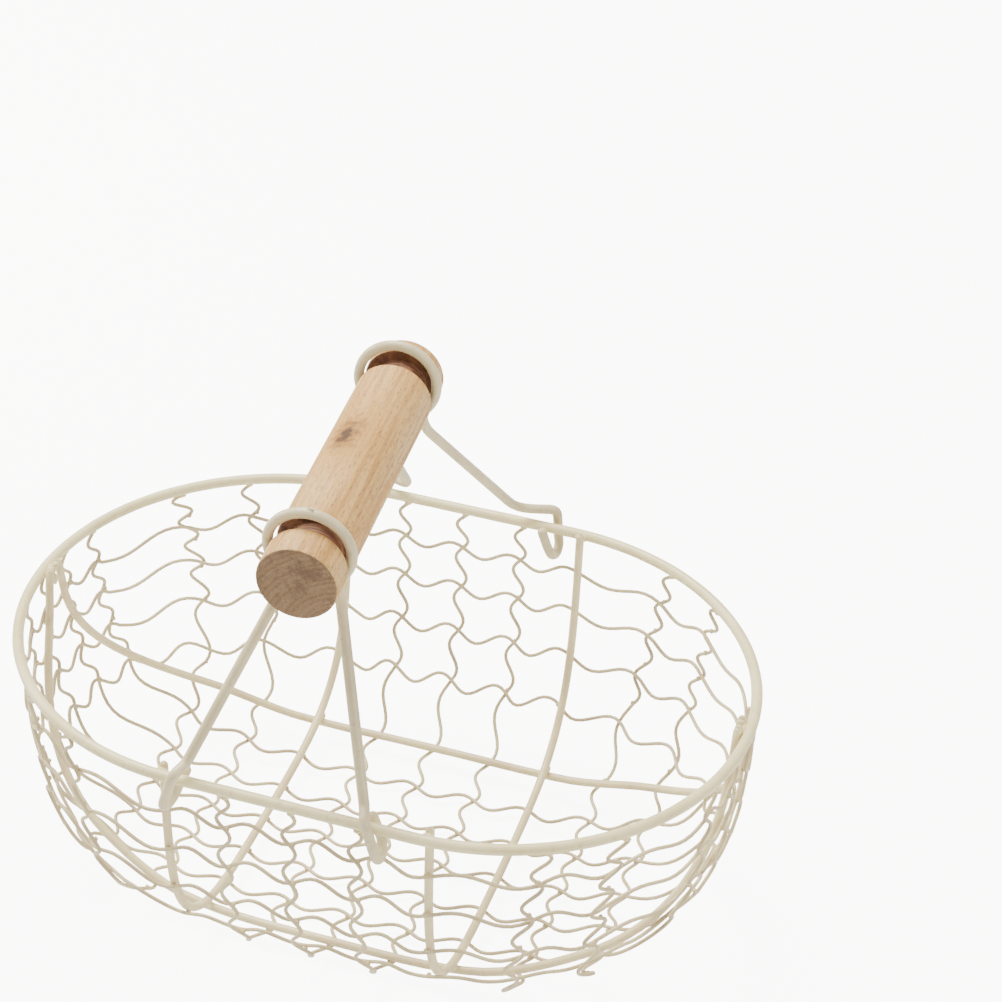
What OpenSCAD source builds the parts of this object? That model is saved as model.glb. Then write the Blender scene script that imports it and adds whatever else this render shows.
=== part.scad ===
// Oval wire produce basket with a turned wooden grip.
// The origin is at the middle of the basket on the table, +X runs along the basket, +Z is up.

/* [Rim] */
// Length of the rim, wire centre to wire centre
rim_len = 240; // [210:1:290]
// Width of the rim, wire centre to wire centre
rim_wid = 163; // [135:1:196]
// Height of the rim's wire centre above the table
rim_z = 90.1; // [75:1:110]
// Thickness of the rim wire
rim_d = 3.7; // [3:0.1:4.6]

/* [Ribs] */
// Thickness of the rib wire
rib_d = 2.9; // [2.4:0.1:3.5]
// Distance of each cross rib from the middle
cross_rib_x = 42.2; // [36:0.1:50]
// Distance of each length rib from the middle, on the floor
length_rib_y = 50.8; // [42:0.1:58]
// How far along the basket a length rib keeps its distance from the middle
rib_squareness = 3.2; // [2.6:0.1:4]
// How bluntly a length rib comes in to the end of the rim
rib_bluntness = 2; // [1.8:0.1:2.1]
// How far a rib's tip stands above the top of the rim wire
rib_tip = 0.6; // [0:0.1:2]

/* [Bowl] */
// How flat the floor is before it turns up
floor_squareness = 4.1; // [3:0.1:6]
// How straight the wall is before it turns in
wall_squareness = 3.5; // [2.5:0.1:5]

/* [Net] */
// Thickness of the net wire
net_d = 1.3; // [1:0.1:1.6]
// Height of the wave in each cell of the net
wave = 1.9; // [1:0.1:2.2]
// Extra height of the stronger half of the wave
wave_bulge = 1.8; // [0:0.1:2]
// Angle of the lowest hoop, seen from the middle of the rim and counted from straight down
low_hoop_angle = 46; // [44:0.5:48]
// Angle from one hoop to the next
hoop_pitch_angle = 10.8; // [10:0.1:10.8]
// Share by which the hoops close up towards the rim at the two ends
hoop_lift = 0.2; // [0:0.05:0.25]
// How far the third cross wire leans out at the rim
third_lean = 14; // [10:0.5:16]
// How far the fourth cross wire leans out at the rim
fourth_lean = 12; // [9:0.5:13]
// How far each long wire closes in at the rim, as a share of its distance from the middle
long_wire_close = 0.2; // [0:0.05:0.25]

/* [Bails] */
// Thickness of the bail wire
bail_d = 3.4; // [2.8:0.1:4]
// Radius of a bail's ring, to the wire's centre
ring_r = 12.8; // [12:0.1:14]
// Angle at which a ring's top leans out
ring_lean = 3; // [0:1:6]
// Half of the opening at the foot of a ring, as an angle
ring_opening = 40; // [35:1:50]
// Half of the width between a bail's legs at the neck
neck_x = 9.2; // [8:0.1:10]
// Drop from the grip's axis to the neck
neck_drop = 14; // [13:0.5:20]
// Clear room between an eye and the rim wire on each side
eye_gap = 0.7; // [0.4:0.1:1.2]
// Depth of an eye below the rim's centre, to the wire's centre
eye_drop = 10.2; // [8:0.1:10.5]
// How far an eye's foot stands outside its leg's place on the rim
foot_out = 1.6; // [0:0.1:2]
// How far the end of an eye's tail stands inside its leg's place on the rim
tail_in = 3.2; // [3.2:0.1:5]
// How far an eye's tail stands above the rim's centre
tail_up = 2; // [1:0.5:4]
// Half of the distance between a bail's two eyes, along the rim
eye_half = 32.4; // [29:0.1:33]
// Position of the middle of the front bail's eyes along the rim
front_eyes_x = -5.6; // [-5.6:0.1:2]
// Position of the middle of the back bail's eyes along the rim
back_eyes_x = -0.8; // [-4:0.1:1]
// Length over which a front leg bends along the rim into its eye
front_bend = 3; // [2:0.5:8]
// Length over which a back leg bends along the rim into its eye
back_bend = 13; // [4:0.5:16]
// Height of the bend above the rim's centre
bend_up = 6; // [5.5:0.5:8]

/* [Grip] */
// Diameter of the grip
grip_d = 24.7; // [22:0.1:26]
// Length of the grip between its two grooves
grip_middle = 82; // [74:1:90]
// Width of each groove
groove_w = 8.4; // [8:0.1:9]
// Diameter of the grip in the grooves
groove_d = 14; // [12:0.1:15]
// Length of the knob at the front end
front_knob = 11; // [6:0.5:14]
// Length of the knob at the back end
back_knob = 7; // [6:0.5:14]
// Chamfer on the grip's edges
grip_edge = 0.8; // [0.4:0.1:1.5]
// Height of the grip's axis above the table, at the middle of its length
grip_z = 160.6; // [150:0.1:175]
// Sideways position of the middle of the grip
grip_x = -8; // [-12:0.1:0]
// Position across the basket of the middle of the grip
grip_y = -5.2; // [-6:0.1:0]
// Angle by which the grip is turned, seen from above
grip_turn = 3.8; // [-5:0.1:5]
// How far the grip's front end hangs down, as an angle
grip_tilt = 0.8; // [-1:0.1:1]
// How far the rings sit towards the front of their grooves
ring_shift = 1.2; // [-1.2:0.1:1.2]
// How far each ring sits out from the middle of its groove
ring_out = 0.8; // [0:0.1:0.8]

/* [Hidden] */

cream = [0.93, 0.90, 0.80];
beech = [0.82, 0.68, 0.52];

// Room left between wires that are joined where they cross
join_gap = 0.05;
// Sides of a swept wire's section, and steps along one wave of the net
rib_sides = 8;
bail_sides = 10;
net_sides = 5;
wave_steps = 4;
// Steps that halve the search for a point on the bowl
search_steps = 22;

rim_r = rim_wid / 2;
// Half of the straight part of each long side
straight = (rim_len - rim_wid) / 2;

// Heights of the layers of wire on the floor, from the table up
floor_cross_wire_z = net_d / 2;
floor_long_wire_z = floor_cross_wire_z + net_d + join_gap;
floor_length_rib_z = floor_cross_wire_z + (net_d + rib_d) / 2 + join_gap;
floor_cross_rib_z = floor_length_rib_z + rib_d + join_gap;

// The bowl is the surface that holds the cross ribs' centres. Other layers lie outside it.
rib_inset = (rim_d + rib_d) / 2 + 2 * join_gap;
bowl_r = rim_r - rib_inset;
bowl_top = rim_z + 1;
bowl_deep = bowl_top - floor_cross_rib_z;
length_rib_out = floor_cross_rib_z - floor_length_rib_z;
hoop_out = (rib_d + net_d) / 2 + join_gap;
long_wire_out = floor_cross_rib_z - floor_long_wire_z;
cross_wire_out_floor = floor_cross_rib_z - floor_cross_wire_z;
cross_wire_out_wall = hoop_out + net_d + join_gap;
// A net wire ends just under the rim
net_top = rim_z - rim_d / 2 - net_d / 2 - join_gap;

// Cross wires stand half a rib spacing apart, and the ribs take the place of the second ones
cross_pitch = cross_rib_x / 2;
cross_wires = [[-4, -fourth_lean], [-3, -third_lean], [-1, 0], [0, 0], [1, 0], [3, third_lean], [4, fourth_lean]];
// Long wires stand a third of the length ribs' distance apart
long_pitch = length_rib_y / 3;
long_wires = [-2, -1, 0, 1, 2];

function unit(v) = v / norm(v);
function mix(a, b, t) = a + (b - a) * t;
function clamp01(t) = max(0, min(1, t));
function smooth(t) = let (u = clamp01(t)) u * u * (3 - 2 * u);

// How large the rim's outline, drawn to an end radius r, has to be scaled to pass through [x, y]
function scale_of(x, y, r) =
    let (ax = abs(x), ay = abs(y), k = ay / r, q = ax * ax + ay * ay)
    ax <= k * straight ? k : q / (ax * straight + sqrt(pow(ax * straight, 2) + (r * r - pow(straight, 2)) * q));

// Above zero outside the bowl, below zero inside it, for a layer that lies out millimetres outside
function outside(x, y, z, out) =
    let (deep = bowl_deep + out)
    pow(scale_of(x, y, bowl_r + out), floor_squareness) + pow(max(0, bowl_top - z) / deep, wall_squareness) - 1;

// Distance from the middle of the rim's plane to the layer, at an angle from straight down, along Y.
// x is the wire's place on the floor and lean is how far it moves out by the time it reaches the rim.
function reach_y(x, lean, angle, out, lo, hi, n) =
    let (r = (lo + hi) / 2, z = bowl_top - r * cos(angle), at_x = x + lean * height_share(z))
    n == 0 ? r
    : outside(at_x, r * sin(angle), z, out) > 0 ? reach_y(x, lean, angle, out, lo, r, n - 1)
    : reach_y(x, lean, angle, out, r, hi, n - 1);
// The same along X, for a wire that lies at y on the floor
function reach_x(y, lean, angle, out, lo, hi, n) =
    let (r = (lo + hi) / 2, z = bowl_top - r * cos(angle), at_y = y + lean * height_share(z))
    n == 0 ? r
    : outside(r * sin(angle), at_y, z, out) > 0 ? reach_x(y, lean, angle, out, lo, r, n - 1)
    : reach_x(y, lean, angle, out, r, hi, n - 1);
function height_share(z) = clamp01((z - floor_cross_rib_z) / bowl_deep);

function point_y(x, lean, angle, out) =
    let (r = reach_y(x, lean, angle, out, 1, rim_len, search_steps), z = bowl_top - r * cos(angle))
    [x + lean * height_share(z), r * sin(angle), z];
function point_x(y, lean, angle, out) =
    let (r = reach_x(y, lean, angle, out, 1, rim_len, search_steps), z = bowl_top - r * cos(angle))
    [r * sin(angle), y + lean * height_share(z), z];

// One wave between two crossings: t goes from 0 to 1
function ripple(t) = wave * sin(360 * t);
function bulge(t) = wave_bulge * (1 - cos(360 * t)) / 2;

// A wire of n sides along a path, as one closed solid
function path_tangent(path, i, closed) =
    let (n = len(path))
    closed ? unit(path[(i + 1) % n] - path[(i + n - 1) % n]) : unit(path[min(i + 1, n - 1)] - path[max(i - 1, 0)]);
function square_to(v, t) = unit(v - (v * t) * t);
// One direction across the wire at each point, carried along without twist
function path_normals(path, first) =
    [for (i = 0, v = square_to(first, path_tangent(path, 0, false)); i < len(path);
        i = i + 1, v = i < len(path) ? square_to(v, path_tangent(path, i, false)) : v) v];
// One direction across the wire at each point, towards the middle of the rim
function inward_normals(path, closed) =
    [for (i = [0 : len(path) - 1]) square_to([0, 0, bowl_top] - path[i], path_tangent(path, i, closed))];

module wire(path, normals, d, sides, closed = false) {
    n = len(path);
    points = [for (i = [0 : n - 1])
        let (t = path_tangent(path, i, closed), u = normals[i], v = cross(t, u))
        for (k = [0 : sides - 1]) path[i] + d / 2 * (cos(360 * k / sides) * u + sin(360 * k / sides) * v)];
    rings = closed ? n : n - 1;
    skin = [for (i = [0 : rings - 1]) for (k = [0 : sides - 1])
        let (a = i * sides + k, b = i * sides + (k + 1) % sides, j = (i + 1) % n * sides)
        for (half = [0, 1])
        half == 0 ? [a, j + k, b] : [b, j + k, j + (k + 1) % sides]];
    caps = closed ? [] : [[for (k = [0 : sides - 1]) k],
        [for (k = [0 : sides - 1]) n * sides - 1 - k]];
    polyhedron(points = points, faces = concat(skin, caps), convexity = 8);
}

/* Rim and ribs */

module rim_end() {
    translate([straight, 0, rim_z])
    rotate([0, 0, -90])
    rotate_extrude(angle = 180, $fn = 96)
    translate([rim_r, 0])
    circle(d = rim_d, $fn = 32);
}

module rim_side() {
    translate([-straight, rim_r, rim_z])
    rotate([0, 90, 0])
    cylinder(d = rim_d, h = 2 * straight, $fn = 32);
}

module rim_hoop() {
    color(cream)
    union() {
        rim_side();
        mirror([0, 1, 0]) rim_side();
        rim_end();
        mirror([1, 0, 0]) rim_end();
    }
}

rib_top = rim_z + rim_d / 2 + rib_tip;

module cross_rib(side) {
    half = [for (a = [0 : 6 : 90]) point_y(side * cross_rib_x, 0, a, 0)];
    top = half[len(half) - 1];
    arm = concat(half, [[top[0], top[1], rib_top]]);
    back = [for (i = [len(arm) - 1 : -1 : 1]) [arm[i][0], -arm[i][1], arm[i][2]]];
    path = concat(back, arm);
    color(cream)
    wire(path, inward_normals(path, false), rib_d, rib_sides);
}

// Half of the room between the two length ribs where they meet at the end of the rim
rib_meet_y = rib_d / 2 + join_gap;
// The length ribs rise from under the cross ribs to the bowl between these two places
rib_rise_from = cross_rib_x + 2 * rib_d;
rib_rise_to = 0.7 * (straight + bowl_r);

function length_rib_at(t) =
    let (half_len = straight + bowl_r, x = half_len * pow(sin(t), 2 / rib_squareness),
        y = mix(rib_meet_y, length_rib_y, pow(cos(t), 2 / rib_bluntness)),
        out = length_rib_out * (1 - smooth((x - rib_rise_from) / (rib_rise_to - rib_rise_from))))
    rib_point(x, y, out);
function rib_point(x, y, out) =
    let (k = min(1, scale_of(x, y, bowl_r + out)), deep = bowl_deep + out)
    [x, y, bowl_top - deep * pow(1 - pow(k, floor_squareness), 1 / wall_squareness)];

module length_rib(side) {
    half = [for (t = [0, 5, 10, 16, 22, 28, 35, 42, 49, 56, 63, 70, 76, 81, 85, 88, 90]) length_rib_at(t)];
    top = half[len(half) - 1];
    arm = concat(half, [[top[0], top[1], rib_top]]);
    back = [for (i = [len(arm) - 1 : -1 : 1]) [-arm[i][0], arm[i][1], arm[i][2]]];
    path = [for (p = concat(back, arm)) [p[0], side * p[1], p[2]]];
    color(cream)
    wire(path, inward_normals(path, false), rib_d, rib_sides);
}

/* Net */

// Angle of hoop h, from 0 at the lowest, at a share of the way from the side to the end of the basket
function hoop_angle(h, share) =
    let (a = low_hoop_angle + h * hoop_pitch_angle, last = low_hoop_angle + 3 * hoop_pitch_angle)
    a + hoop_lift * (last - a) * pow(sin(90 * share), 2);

// Where a cross wire passes hoop h, as an angle from straight down
function cross_meets_hoop(x, lean, h) =
    let (p = point_y(x, lean, hoop_angle(h, clamp01(abs(x) / (straight + bowl_r))), hoop_out))
    atan2(p[1], bowl_top - p[2]);
function long_meets_hoop(y, lean, h) =
    let (p = point_x(y, lean, hoop_angle_at_end(h), hoop_out)) atan2(p[0], bowl_top - p[2]);
function hoop_angle_at_end(h) =
    let (a = hoop_angle(h, 1), k = hoop_scale(a), z = hoop_z(a))
    atan2(k * (straight + bowl_r + hoop_out), bowl_top - z);

// The bowl's section across the basket, at an angle from straight down: its scale and its height
function hoop_scale(a) = let (p = point_y(0, 0, a, hoop_out)) p[1] / (bowl_r + hoop_out);
function hoop_z(a) = point_y(0, 0, a, hoop_out)[2];

function cross_x(w) = cross_pitch * w[0];
// Angles, from the floor's middle to the rim, at which a cross wire meets the wires it crosses
function cross_stops(w) =
    let (x = cross_x(w), top = atan2(bowl_r, bowl_top - net_top))
    concat(
        [for (y = [0, long_pitch, 2 * long_pitch, length_rib_y])
            let (z = rib_point(abs(x), y, long_wire_out)[2]) atan2(y, bowl_top - z)],
        [for (h = [0 : 3]) cross_meets_hoop(x, w[1], h)],
        [top]);
function long_y(i) = long_pitch * i;
function long_lean(i) = -long_wire_close * long_y(i);
function long_stops(i) =
    let (y = long_y(i), top = atan2(straight + bowl_r, bowl_top - net_top))
    concat(
        [for (k = [0, 1, 2, 3, 4])
            let (x = k * cross_pitch, z = rib_point(x, abs(y), long_wire_out)[2]) atan2(x, bowl_top - z)],
        [for (h = [0 : 3]) long_meets_hoop(y, long_lean(i), h)],
        [top]);

function both_ways(stops) = concat([for (i = [len(stops) - 1 : -1 : 1]) -stops[i]], stops);

// A cross wire lies under the long wires on the floor and against the hoops on the wall
function cross_wire_out(angle) =
    mix(cross_wire_out_floor, cross_wire_out_wall, smooth((abs(angle) - 34) / (low_hoop_angle - 36)));

function cross_wire_point(w, angle, shift) =
    let (p = point_y(cross_x(w) + shift, w[1], angle, cross_wire_out(angle)))
    [p[0], p[1], min(p[2], net_top)];
function long_wire_point(i, angle, shift) =
    let (p = point_x(long_y(i) + shift, long_lean(i), angle, long_wire_out))
    [p[0], p[1], min(p[2], net_top)];

module cross_wire(w) {
    stops = both_ways(cross_stops(w));
    path = concat(
        [for (i = [0 : len(stops) - 2]) for (s = [0 : wave_steps - 1])
            let (t = s / wave_steps) cross_wire_point(w, mix(stops[i], stops[i + 1], t), ripple(t) - bulge(t))],
        [cross_wire_point(w, stops[len(stops) - 1], 0)]);
    color(cream)
    wire(path, inward_normals(path, false), net_d, net_sides);
}

module long_wire(i) {
    stops = both_ways(long_stops(i));
    path = concat(
        [for (k = [0 : len(stops) - 2]) for (s = [0 : wave_steps - 1])
            let (t = s / wave_steps) long_wire_point(i, mix(stops[k], stops[k + 1], t), -ripple(t) - bulge(t))],
        [long_wire_point(i, stops[len(stops) - 1], 0)]);
    color(cream)
    wire(path, inward_normals(path, false), net_d, net_sides);
}

// Stations along a quarter of the outline: a length on the straight part, then an angle on the end
function station_of_x(x, k) =
    x <= k * straight ? x / k : straight + asin(min(1, (x - k * straight) / (k * (bowl_r + hoop_out))));
function station_of_y(y, k) = straight + 90 - asin(y / (k * (bowl_r + hoop_out)));
function quarter_station(s) = straight + 90;
// The point at a station, going on from one quarter to the next round the whole hoop
function hoop_point(h, station, shift) =
    let (quarter = straight + 90, lap = floor(station / quarter), rest = station - lap * quarter,
        s = lap % 2 == 0 ? rest : quarter - rest,
        a = hoop_angle(h, clamp01((s - straight) / 90)),
        p = point_y(0, 0, a + shift / bowl_r * 180 / PI, hoop_out), k = p[1] / (bowl_r + hoop_out),
        turn = clamp01((s - straight) / 90) * 90,
        x = k * (min(s, straight) + (bowl_r + hoop_out) * sin(turn)), y = k * (bowl_r + hoop_out) * cos(turn))
    [lap < 2 ? x : -x, lap == 1 || lap == 2 ? -y : y, p[2]];

function hoop_stops(h) =
    let (k = hoop_scale(hoop_angle(h, 0.5)), z = hoop_z(hoop_angle(h, 0.5)), e = hoop_scale(hoop_angle(h, 1)),
        share = height_share(z), close = 1 - long_wire_close * share)
    concat(
        [0, station_of_x(cross_pitch, k), station_of_x(cross_rib_x, k),
            station_of_x(3 * cross_pitch + third_lean * share, k),
            station_of_x(4 * cross_pitch + fourth_lean * share, k)],
        [for (i = [2, 1]) station_of_y(long_y(i) * close, e)]);

function all_round(stops) =
    let (quarter = straight + 90, n = len(stops))
    concat(stops, [quarter], [for (i = [n - 1 : -1 : 0]) 2 * quarter - stops[i]],
        [for (i = [1 : n - 1]) 2 * quarter + stops[i]], [3 * quarter],
        [for (i = [n - 1 : -1 : 1]) 4 * quarter - stops[i]], [4 * quarter]);

module net_hoop(h) {
    stops = all_round(hoop_stops(h));
    lap = 4 * (straight + 90);
    path = [for (i = [0 : len(stops) - 2]) for (s = [0 : wave_steps - 1])
        let (t = s / wave_steps, station = mix(stops[i], stops[i + 1], t))
        hoop_point(h, station % lap, -ripple(t) - cos(360 * station / lap) * bulge(t))];
    color(cream)
    wire(path, inward_normals(path, true), net_d, net_sides, true);
}

/* Handle */

grip_axis = [-sin(grip_turn) * cos(grip_tilt), cos(grip_turn) * cos(grip_tilt), sin(grip_tilt)];
grip_side = [cos(grip_turn), sin(grip_turn), 0];
grip_mid = [grip_x, grip_y, grip_z];
ring_from_middle = (grip_middle + groove_w) / 2 + ring_out;
// A ring hangs so that its foot is just clear of the groove's floor
ring_play = 0.6;
ring_up = ring_r - bail_d / 2 - groove_d / 2 - ring_play;
eye_r = (rim_d + bail_d) / 2 + eye_gap;

// Points of a rounded corner at b, between a and c
function corner(a, b, c, size, steps) =
    let (p = b + size * unit(a - b), q = b + size * unit(c - b))
    [for (i = [0 : steps]) let (t = i / steps) mix(mix(p, b, t), mix(b, q, t), t)];

// The path of one leg from the neck down to the tail. The rim side is -1 or 1, hand is -1 or 1 along X.
function leg_path(neck, eye_x, side, hand, bend) =
    let (out_y = side * (rim_r + eye_r), in_y = side * (rim_r - eye_r),
        foot_z = rim_z - eye_drop + eye_r,
        knee = [eye_x - hand * bend, side * (rim_r - 0.3 * eye_r), rim_z + bend_up],
        brow = [eye_x, side * (rim_r + eye_r), rim_z + 0.85 * bend_up],
        heel = [eye_x + hand * 0.6 * foot_out, out_y, foot_z])
    concat(corner(neck, knee, brow, min(6, bend * 0.6), 3), corner(knee, brow, heel, 2.5, 3), [heel],
        [for (a = [30 : 30 : 150])
            [eye_x + hand * foot_out * (a < 90 ? 1 : mix(1, 0, (a - 90) / 90)),
                side * (rim_r + eye_r * cos(a)), foot_z - eye_r * sin(a)]],
        [[eye_x - hand * 0.2 * tail_in, in_y, foot_z + 1],
            [eye_x - hand * tail_in, in_y, rim_z + tail_up]]);

module bail(side, eyes_x, bend) {
    middle = grip_mid + (side * ring_from_middle - ring_shift) * grip_axis + [0, 0, ring_up];
    up = cos(ring_lean) * [0, 0, 1] + side * sin(ring_lean) * grip_axis;
    ring = [for (a = [-90 + ring_opening : 14 : 270 - ring_opening])
        middle + ring_r * (cos(a) * grip_side + sin(a) * up)];
    right_end = ring[0];
    left_end = ring[len(ring) - 1];
    neck = middle - [0, 0, ring_up + neck_drop];
    right_neck = [neck[0] + neck_x, right_end[1], neck[2]];
    left_neck = [neck[0] - neck_x, left_end[1], neck[2]];
    right_leg = leg_path(right_neck, eyes_x + eye_half, side, 1, bend);
    left_leg = leg_path(left_neck, eyes_x - eye_half, side, -1, bend);
    right_bend = corner(right_end, right_neck, right_leg[0], 4, 3);
    left_bend = corner(left_end, left_neck, left_leg[0], 4, 3);
    path = concat(
        [for (i = [len(right_leg) - 1 : -1 : 0]) right_leg[i]],
        [for (i = [len(right_bend) - 1 : -1 : 0]) right_bend[i]],
        ring, left_bend, left_leg);
    color(cream)
    wire(path, path_normals(path, [1, 0, 0]), bail_d, bail_sides);
}

// The grip's outline from its middle to one end: distance from the axis, distance along it
function grip_half(knob) =
    let (r = grip_d / 2, e = grip_edge, near = grip_middle / 2, far = near + groove_w, end = far + knob)
    [[r, near - e], [r - e, near], [groove_d / 2, near], [groove_d / 2, far],
        [r - e, far], [r, far + e], [r, end - e], [r - e, end], [0, end]];

module wooden_grip() {
    front = grip_half(front_knob);
    back = grip_half(back_knob);
    color(beech)
    translate(grip_mid)
    rotate([grip_tilt, 0, grip_turn])
    rotate([-90, 0, 0])
    rotate_extrude($fn = 96)
    polygon(concat([for (i = [len(front) - 1 : -1 : 0]) [front[i][0], -front[i][1]]], back));
}

module front_bail() {
    bail(-1, front_eyes_x, front_bend);
}

module back_bail() {
    bail(1, back_eyes_x, back_bend);
}

rim_hoop();
cross_rib(-1);  // cross_rib_left
cross_rib(1);  // cross_rib_right
length_rib(-1);  // length_rib_front
length_rib(1);  // length_rib_back
net_hoop(0);  // net_hoop_1
net_hoop(1);  // net_hoop_2
net_hoop(2);  // net_hoop_3
net_hoop(3);  // net_hoop_4
cross_wire(cross_wires[0]);  // net_cross_wire_1
cross_wire(cross_wires[1]);  // net_cross_wire_2
cross_wire(cross_wires[2]);  // net_cross_wire_3
cross_wire(cross_wires[3]);  // net_cross_wire_4
cross_wire(cross_wires[4]);  // net_cross_wire_5
cross_wire(cross_wires[5]);  // net_cross_wire_6
cross_wire(cross_wires[6]);  // net_cross_wire_7
long_wire(long_wires[0]);  // net_long_wire_1
long_wire(long_wires[1]);  // net_long_wire_2
long_wire(long_wires[2]);  // net_long_wire_3
long_wire(long_wires[3]);  // net_long_wire_4
long_wire(long_wires[4]);  // net_long_wire_5
front_bail();
back_bail();
wooden_grip();
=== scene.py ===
# Looks of an oval wire produce basket with a turned wooden grip.
# Lengths are written in millimetres and turned into metres as each piece is made.
import math
import random

import bmesh
import bpy
from mathutils import Matrix, Vector, noise


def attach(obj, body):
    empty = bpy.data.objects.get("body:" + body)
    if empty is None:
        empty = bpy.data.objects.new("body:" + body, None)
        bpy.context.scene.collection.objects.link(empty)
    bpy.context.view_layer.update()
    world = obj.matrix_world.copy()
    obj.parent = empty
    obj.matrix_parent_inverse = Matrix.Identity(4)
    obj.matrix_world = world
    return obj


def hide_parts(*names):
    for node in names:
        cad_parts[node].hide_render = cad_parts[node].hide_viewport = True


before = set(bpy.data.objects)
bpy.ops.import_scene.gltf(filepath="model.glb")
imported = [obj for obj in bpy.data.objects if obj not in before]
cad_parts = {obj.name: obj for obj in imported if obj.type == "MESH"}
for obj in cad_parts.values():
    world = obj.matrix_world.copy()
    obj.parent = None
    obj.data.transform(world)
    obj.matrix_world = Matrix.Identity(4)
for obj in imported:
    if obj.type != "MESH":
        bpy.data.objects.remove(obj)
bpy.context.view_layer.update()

MM = 0.001

# Rim
RIM_R = 81.5
STRAIGHT = 38.5
RIM_Z = 90.1
RIM_D = 3.7
RIM_SIDE_STEPS = 24
RIM_END_STEPS = 72
RIM_JOIN = (14, 81.5, RIM_Z)

# Ribs
RIB_D = 2.9
CROSS_RIB_X = 42.2
LENGTH_RIB_Y = 50.8
RIB_SQUARENESS = 3.2
RIB_MEET_Y = 1.5
RIB_TOP = 92.55
RIB_RISE_FROM = 48.0
RIB_RISE_TO = 81.62

# Bowl
BOWL_R = 78.1
BOWL_TOP = 91.1
FLOOR_Z = 5.75
BOWL_DEEP = 85.35
FLOOR_SQUARENESS = 4.1
WALL_SQUARENESS = 3.5
LENGTH_RIB_OUT = 2.95
HOOP_OUT = 2.15
LONG_WIRE_OUT = 3.75
NEAREST_REACH = 1.0
FARTHEST_REACH = 240.0
REACH_HALVINGS = 26
CROSS_WIRE_OUT_FLOOR = 5.1
CROSS_WIRE_OUT_WALL = 3.5
WALL_FROM_ANGLE = 34
WALL_TURN_ANGLE = 10

# Net
NET_D = 1.3
NET_TOP = 87.55
NET_LOW = 0.8
WAVE = 1.9
WAVE_BULGE = 1.8
LOW_HOOP = 46.0
HOOP_PITCH = 10.8
HOOP_LIFT = 0.2
CROSS_PITCH = 21.1
LONG_PITCH = 50.8 / 3
LONG_CLOSE = 0.2
LEAN_3 = 14
LEAN_4 = 12
CROSS_WIRES = [(-4, -LEAN_4), (-3, -LEAN_3), (-1, 0), (0, 0), (1, 0), (3, LEAN_3), (4, LEAN_4)]
LONG_WIRES = [-2, -1, 0, 1, 2]
WAVE_STEPS = 12

# Bails
BAIL_D = 3.4
RING_R = 12.8
RING_LEAN = 3.0
RING_OPENING = 40.0
NECK_X = 9.2
FRONT_NECK_DROP = 14.0
BACK_NECK_DROP = 11.8
EYE_R = 4.25
EYE_DROP = 10.2
FOOT_OUT = 1.6
TAIL_IN = 3.2
TAIL_UP = 2.0
EYE_HALF = 32.4
BEND_UP = 6.0
RING_UP = 3.5
FRONT_KNEE_IN = 1.2
FRONT_BROW_IN = 2.2
RING_STEPS = 70
RING_LESS_LEFT = 6
HEEL_SHARE = 0.6
FRONT_EYES_X = -5.6
BACK_EYES_X = -0.8
FRONT_BEND = 3
BACK_BEND = 13
EASING_ROUNDS = 4

# Grip
GRIP_R = 12.35
GRIP_MIDDLE = 82.0
GROOVE_W = 8.4
GROOVE_R = 8.1
FRONT_KNOB = 11.0
BACK_KNOB = 7.0
GRIP_TURN = 3.8
GRIP_TILT = 0.8
GRIP_MID = Vector((-8, -5.2, 160.6))
RING_SHIFT = 1.2
RING_FROM_MIDDLE = 46.0
GRIP_STEPS = 96
TURNED_SIDE = 0
END_GRAIN = 1
BURNT_AND_SHADED_GROOVE = 2


# Small sums

def mix(a, b, share):
    return a + (b - a) * share


def clamp(value):
    return max(0.0, min(1.0, value))


def smooth(value):
    u = clamp(value)
    return u * u * (3 - 2 * u)


def sine(angle):
    return math.sin(math.radians(angle))


def cosine(angle):
    return math.cos(math.radians(angle))


def angle_of(across, down):
    return math.degrees(math.atan2(across, down))


# The bowl that the wires lie on

def outline_scale(x, y, r):
    """How far the rim's outline, drawn to an end radius r, is scaled to pass through a point."""
    x = abs(x)
    y = abs(y)
    k = y / r
    if x <= k * STRAIGHT:
        return k
    q = x * x + y * y
    return q / (x * STRAIGHT + math.sqrt((x * STRAIGHT) ** 2 + (r * r - STRAIGHT ** 2) * q))


def outside_bowl(x, y, z, out):
    depth = max(0.0, BOWL_TOP - z) / (BOWL_DEEP + out)
    spread = outline_scale(x, y, BOWL_R + out)
    return spread ** FLOOR_SQUARENESS + depth ** WALL_SQUARENESS > 1


def height_share(z):
    return clamp((z - FLOOR_Z) / BOWL_DEEP)


def leave_bowl(place_at, angle, out):
    """The point where a line at an angle from straight down leaves the bowl.

    place_at turns a distance sideways and a height into x and y.
    """
    low = NEAREST_REACH
    high = FARTHEST_REACH
    for _ in range(REACH_HALVINGS):
        reach = (low + high) / 2
        z = BOWL_TOP - reach * cosine(angle)
        x, y = place_at(reach * sine(angle), z)
        if outside_bowl(x, y, z, out):
            high = reach
        else:
            low = reach
    return Vector((x, y, z))


def on_bowl_across(x, lean, angle, out):
    """The point of the bowl at an angle, on a wire that runs across the basket."""
    return leave_bowl(lambda far, z: (x + lean * height_share(z), far), angle, out)


def on_bowl_along(y, lean, angle, out):
    """The same on a wire that runs along the basket."""
    return leave_bowl(lambda far, z: (far, y + lean * height_share(z)), angle, out)


def on_bowl_below(x, y, out):
    """The point of the bowl straight below a place on the rim's plane."""
    k = min(1.0, outline_scale(x, y, BOWL_R + out))
    drop = (1 - k ** FLOOR_SQUARENESS) ** (1 / WALL_SQUARENESS)
    return Vector((x, y, BOWL_TOP - (BOWL_DEEP + out) * drop))


# Where the wires of the net cross

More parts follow.
